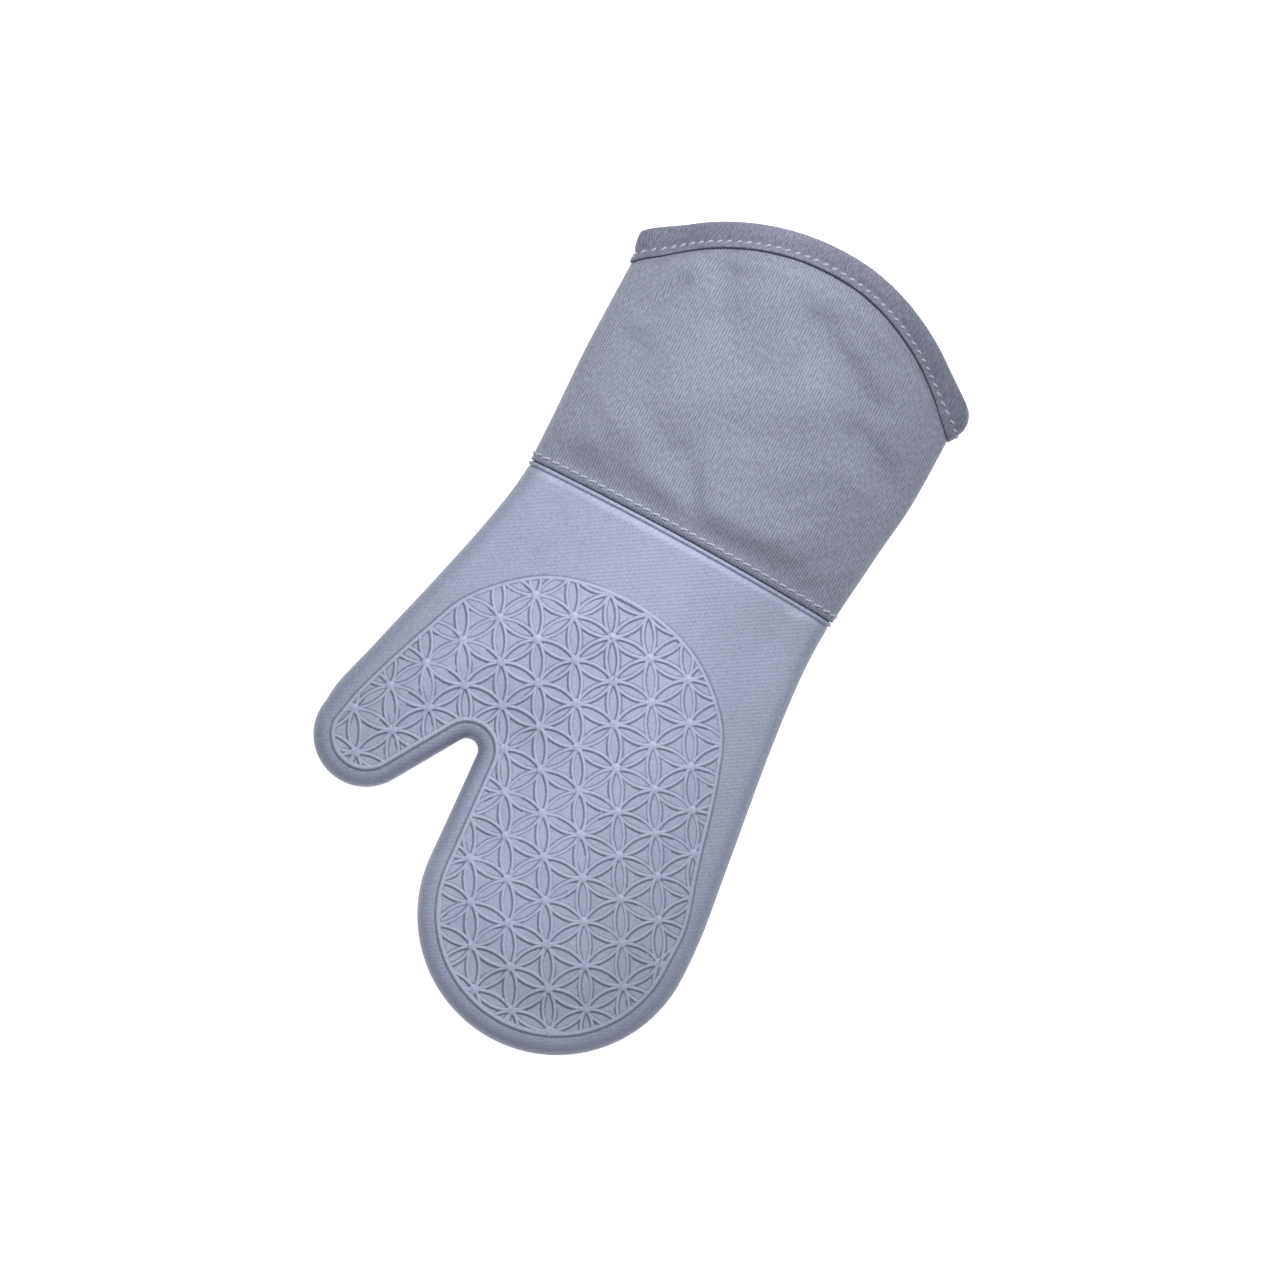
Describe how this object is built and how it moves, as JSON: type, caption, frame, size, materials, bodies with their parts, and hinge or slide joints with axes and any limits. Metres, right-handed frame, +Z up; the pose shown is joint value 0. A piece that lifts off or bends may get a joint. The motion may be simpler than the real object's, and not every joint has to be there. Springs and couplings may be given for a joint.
{
  "type": "oven mitt",
  "caption": "Moulded silicone oven mitt with a circle-relief panel, a sewn twill cuff with bound arched mouth and a quilted cotton lining.",
  "frame": {"origin": "centre of the underside of the mitt lying flat on its palm side", "axes": "+Y along the mitt from the finger end to the cuff mouth, +Z up through its thickness, thumb on the -X side"},
  "size_m": [0.1944, 0.375, 0.0357],
  "materials": {
    "silicone": "soft matte moulded silicone, blue-grey",
    "cuff_cloth": "matte cotton twill, grey",
    "binding_cloth": "matte woven cotton tape, grey",
    "thread": "light grey sewing thread",
    "batting": "off-white needled cotton batting",
    "lining": "light grey quilted cotton"
  },
  "bodies": {
    "root": {"silicone_glove": "silicone", "cuff_panel_upper": "cuff_cloth", "cuff_panel_lower": "cuff_cloth", "binding_tape": "binding_cloth", "binding_stitching": "thread", "cuff_join_stitching": "thread", "side_seam_thumb_side": "thread", "side_seam_little_finger_side": "thread", "batting_upper": "batting", "batting_lower": "batting", "lining_upper": "lining", "lining_lower": "lining", "lining_seam": "thread"}
  },
  "joints": []
}
